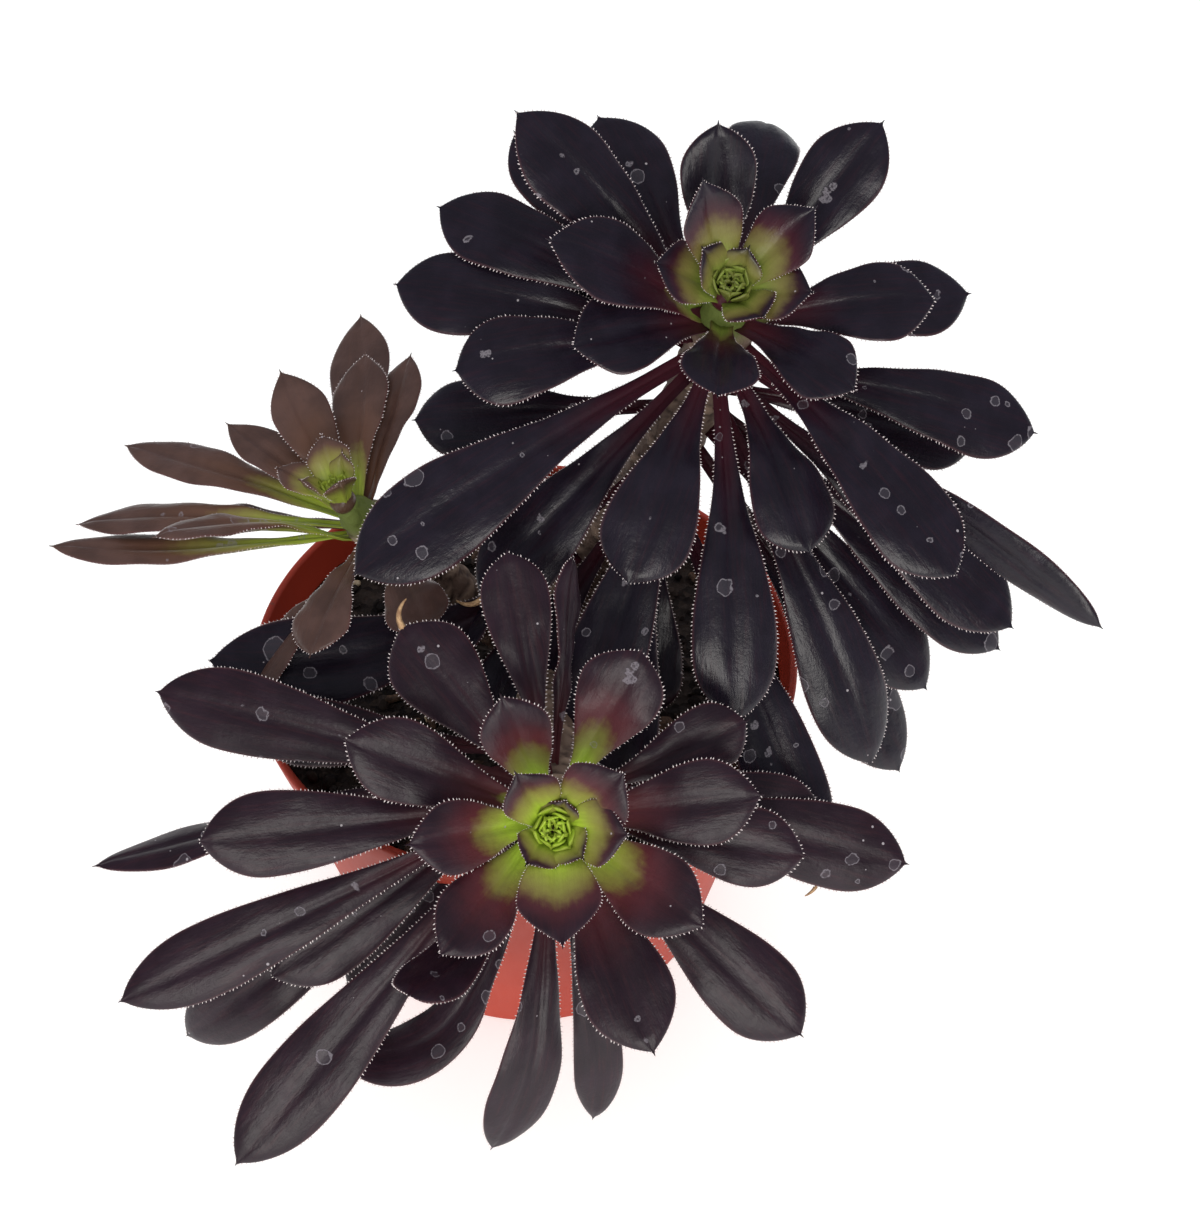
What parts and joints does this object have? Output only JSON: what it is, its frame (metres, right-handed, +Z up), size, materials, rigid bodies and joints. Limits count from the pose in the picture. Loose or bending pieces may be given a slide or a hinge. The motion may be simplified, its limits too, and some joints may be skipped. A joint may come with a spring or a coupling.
{
  "type": "potted aeonium",
  "caption": "Branching succulent with rosettes of dark, drooping spoon-shaped leaves on short bare woody branches, rooted in potting soil in a round tapered plastic pot.",
  "frame": {"origin": "centre of the pot's underside, on the pot's axis", "axes": "+Z up along the pot's axis; -Y towards the side that the lowest rosette leans over; +X to its right"},
  "size_m": [0.2141, 0.1879, 0.1953],
  "materials": {
    "red_plastic": "satin",
    "potting_soil": "matte",
    "bark": "matte",
    "dark_leaf": "satin",
    "wine_leaf": "satin",
    "olive_leaf": "satin",
    "heart_leaf": "satin"
  },
  "bodies": {
    "root": {"front_bud": "heart_leaf", "front_leaf_07": "wine_leaf", "front_leaf_08": "wine_leaf", "front_leaf_09": "wine_leaf", "front_leaf_10": "wine_leaf", "front_leaf_11": "wine_leaf", "front_leaf_12": "wine_leaf", "front_leaf_13": "wine_leaf", "front_leaf_14": "wine_leaf", "front_leaf_15": "wine_leaf", "front_leaf_16": "wine_leaf", "front_leaf_17": "wine_leaf", "front_leaf_18": "wine_leaf", "front_leaf_20": "wine_leaf", "front_leaf_21": "wine_leaf", "front_leaf_24": "wine_leaf", "front_leaf_25": "wine_leaf", "front_leaf_28": "wine_leaf", "front_leaf_30": "wine_leaf", "front_leaf_31": "wine_leaf", "front_leaf_32": "wine_leaf", "front_leaf_34": "wine_leaf", "left_bud": "heart_leaf", "left_leaf_06": "olive_leaf", "left_leaf_07": "olive_leaf", "left_leaf_08": "olive_leaf", "left_leaf_10": "olive_leaf", "left_leaf_11": "olive_leaf", "left_leaf_13": "olive_leaf", "left_leaf_14": "olive_leaf", "left_leaf_15": "olive_leaf", "left_leaf_16": "olive_leaf", "pot": "red_plastic", "soil": "potting_soil", "stem": "bark", "top_bud": "heart_leaf", "top_leaf_07": "dark_leaf", "top_leaf_08": "dark_leaf", "top_leaf_09": "dark_leaf", "top_leaf_11": "dark_leaf", "top_leaf_12": "dark_leaf", "top_leaf_13": "dark_leaf", "top_leaf_14": "dark_leaf", "top_leaf_15": "dark_leaf", "top_leaf_16": "dark_leaf", "top_leaf_17": "dark_leaf", "top_leaf_20": "dark_leaf", "top_leaf_21": "dark_leaf", "top_leaf_23": "dark_leaf", "top_leaf_24": "dark_leaf", "top_leaf_25": "dark_leaf", "top_leaf_26": "dark_leaf", "top_leaf_28": "dark_leaf", "top_leaf_29": "dark_leaf", "top_leaf_30": "dark_leaf", "top_leaf_31": "dark_leaf", "top_leaf_33": "dark_leaf", "top_leaf_34": "dark_leaf", "top_leaf_38": "dark_leaf", "top_leaf_40": "dark_leaf"}
  },
  "joints": []
}
